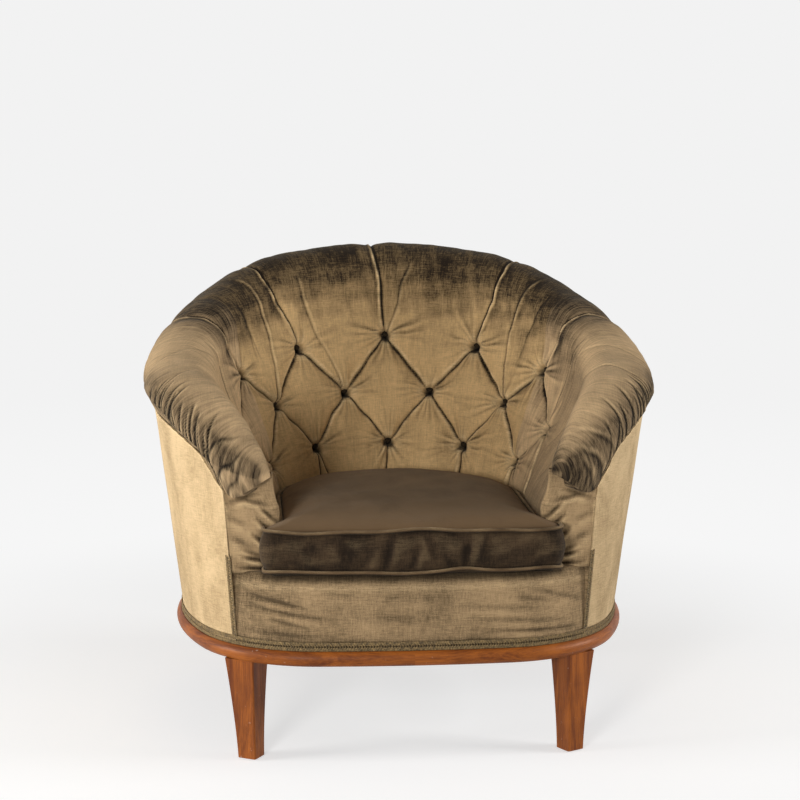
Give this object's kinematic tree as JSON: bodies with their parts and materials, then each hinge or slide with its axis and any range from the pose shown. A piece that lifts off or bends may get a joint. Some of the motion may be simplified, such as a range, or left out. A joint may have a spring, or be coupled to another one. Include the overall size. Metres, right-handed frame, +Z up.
{
  "type": "club chair",
  "caption": "Tub shaped club chair with a deep buttoned back, padded arm rolls, a loose seat cushion, a wooden rim and tapered legs.",
  "frame": {"origin": "middle of the chair on the floor, under the centre of its outline", "axes": "+Z up, the sitter faces -Y, +X to the right when the chair is seen from the front"},
  "size_m": [0.8372, 0.7451, 0.7638],
  "materials": {
    "walnut": "satin",
    "frame_beech": "matte",
    "nylon": "matte",
    "jute": "matte",
    "spring_steel": "satin",
    "stuffing": "matte",
    "outside_velvet": "velvet",
    "front_velvet": "velvet",
    "buttoned_velvet": "velvet",
    "cushion_velvet": "velvet",
    "braid": "matte",
    "cambric": "matte"
  },
  "bodies": {
    "chair": {"arm_edge_roll_left": "stuffing", "arm_edge_roll_right": "stuffing", "arm_facing_left": "front_velvet", "arm_facing_right": "front_velvet", "arm_padding_left": "stuffing", "arm_padding_right": "stuffing", "arm_post_left": "frame_beech", "arm_post_right": "frame_beech", "arm_rail_left": "frame_beech", "arm_rail_right": "frame_beech", "back_edge_roll": "stuffing", "back_padding": "stuffing", "back_post_left": "frame_beech", "back_post_right": "frame_beech", "back_top_rail": "frame_beech", "back_webbing": "jute", "base_gimp": "braid", "buttons": "buttoned_velvet", "corner_blocks": "frame_beech", "deck_cover": "front_velvet", "deck_padding": "stuffing", "dust_cover": "cambric", "front_apron": "front_velvet", "front_border_roll": "stuffing", "front_leg_left": "walnut", "front_leg_right": "walnut", "inside_arm_cover_left": "buttoned_velvet", "inside_arm_cover_right": "buttoned_velvet", "inside_back_cover": "buttoned_velvet", "leg_bolts": "spring_steel", "leg_glides": "nylon", "outside_arm_cover_left": "outside_velvet", "outside_arm_cover_right": "outside_velvet", "outside_back_cover": "outside_velvet", "rear_leg_left": "walnut", "rear_leg_right": "walnut", "rim_back": "walnut", "rim_front": "walnut", "rim_left": "walnut", "rim_right": "walnut", "rim_screws": "spring_steel", "seat_rail_back": "frame_beech", "seat_rail_front": "frame_beech", "seat_rail_left": "frame_beech", "seat_rail_right": "frame_beech", "seat_springs": "spring_steel", "seat_webbing": "jute", "side_gimp_left": "braid", "side_gimp_right": "braid", "side_post_left": "frame_beech", "side_post_right": "frame_beech", "spring_hessian": "jute"},
    "seat_cushion": {"cushion_top": "cushion_velvet", "cushion_boxing": "cushion_velvet", "cushion_bottom": "cushion_velvet", "cushion_filling": "stuffing", "cushion_piping_top": "cushion_velvet", "cushion_piping_bottom": "cushion_velvet"}
  },
  "joints": [
    {"name": "cushion_lift", "type": "slide", "parent": "chair", "child": "seat_cushion", "axis": [0, -0.6392, 0.769], "range_m": [0, 0.5]}
  ]
}
